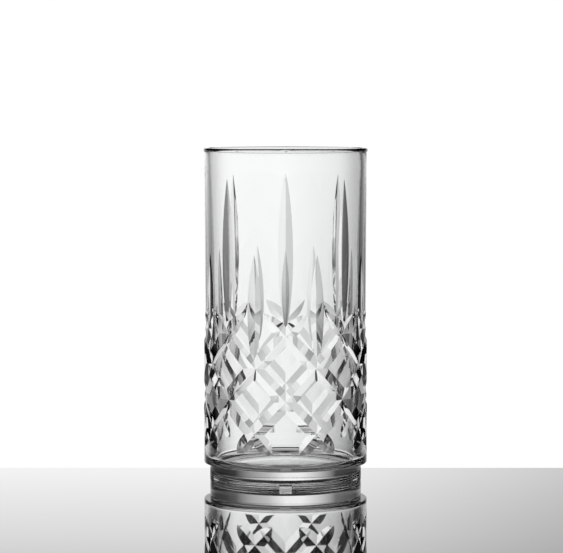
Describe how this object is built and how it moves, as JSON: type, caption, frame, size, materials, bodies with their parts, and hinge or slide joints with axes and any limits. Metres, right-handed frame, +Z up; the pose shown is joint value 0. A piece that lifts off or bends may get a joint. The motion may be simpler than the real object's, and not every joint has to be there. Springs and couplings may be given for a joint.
{
  "type": "highball glass",
  "caption": "Straight highball tumbler with a cut diamond lattice, long and short leaf flutes above it, a beaded lip and a recessed, notched standing foot.",
  "frame": {"origin": "centre of the plane that the glass stands on, on the glass's axis", "axes": "+Z up the glass's axis and out of its mouth; -Y towards the picture's camera; +X to the picture's right"},
  "size_m": [0.073, 0.073, 0.1484],
  "materials": {
    "glass": "clear pressed glass, fire-polished, cut surfaces bright"
  },
  "bodies": {
    "root": {"lip_bead": "glass", "drinking_collar": "glass", "fluted_wall": "glass", "lattice_wall": "glass", "heel": "glass", "floor_disc": "glass", "standing_ring": "glass"}
  },
  "joints": []
}
